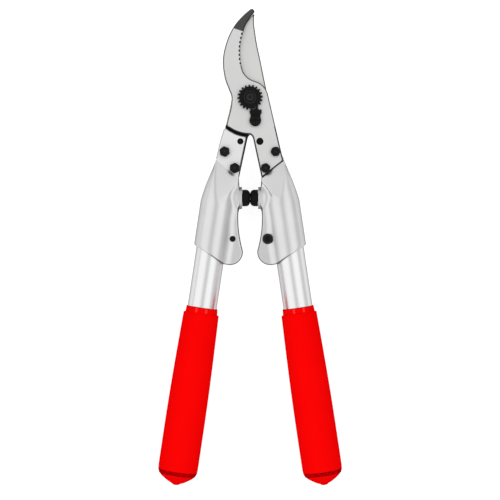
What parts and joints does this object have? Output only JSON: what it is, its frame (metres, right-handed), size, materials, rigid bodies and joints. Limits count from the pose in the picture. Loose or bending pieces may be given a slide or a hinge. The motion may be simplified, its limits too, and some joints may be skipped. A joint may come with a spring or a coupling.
{
  "type": "two-handed bypass lopper",
  "caption": "Short two-handed bypass lopper with a notched hook blade, a convex cutting blade, a toothed locked pivot, alloy brackets and tubes, rubber buffers and red sleeve grips.",
  "frame": {"origin": "on the pivot axis, at the flat back of the pivot bolt's head", "axes": "+Y up to the blade tips, +X towards the counter-blade's handle, +Z along the pivot axis out of the front, where the toothed nut is"},
  "size_m": [0.1554, 0.3998, 0.0337],
  "materials": {
    "blade_steel": "finely ground, satin",
    "cast_alloy": "tumbled satin",
    "tube_alloy": "drawn, bright satin",
    "blacked_steel": "oil blacked",
    "black_rubber": "moulded",
    "red_grip": "smooth dipped vinyl"
  },
  "bodies": {
    "blade_side": {"cutting_blade": "blade_steel", "left_bracket": "cast_alloy", "left_tube": "tube_alloy", "left_grip": "red_grip", "left_bumper": "black_rubber", "left_locating_pin": "blacked_steel", "left_blade_bolt_upper": "blacked_steel", "left_blade_bolt_lower": "blacked_steel", "left_blade_nut_upper": "blacked_steel", "left_blade_nut_lower": "blacked_steel", "left_clamp_screw": "blacked_steel"},
    "hook_side": {"counter_blade": "blade_steel", "pivot_bolt": "blacked_steel", "pivot_washer": "blade_steel", "pivot_nut": "blacked_steel", "lock_segment": "blacked_steel", "lock_screw": "blacked_steel", "right_bracket": "cast_alloy", "right_tube": "tube_alloy", "right_grip": "red_grip", "right_bumper": "black_rubber", "right_locating_pin": "blacked_steel", "right_blade_bolt_upper": "blacked_steel", "right_blade_bolt_lower": "blacked_steel", "right_blade_nut_upper": "blacked_steel", "right_blade_nut_lower": "blacked_steel", "right_clamp_screw": "blacked_steel"}
  },
  "joints": [
    {"name": "handle_pivot", "type": "hinge", "parent": "blade_side", "child": "hook_side", "pos_m": [0, 0, 0.01025], "axis": [0, 0, 1], "range_deg": [0, 70]}
  ]
}
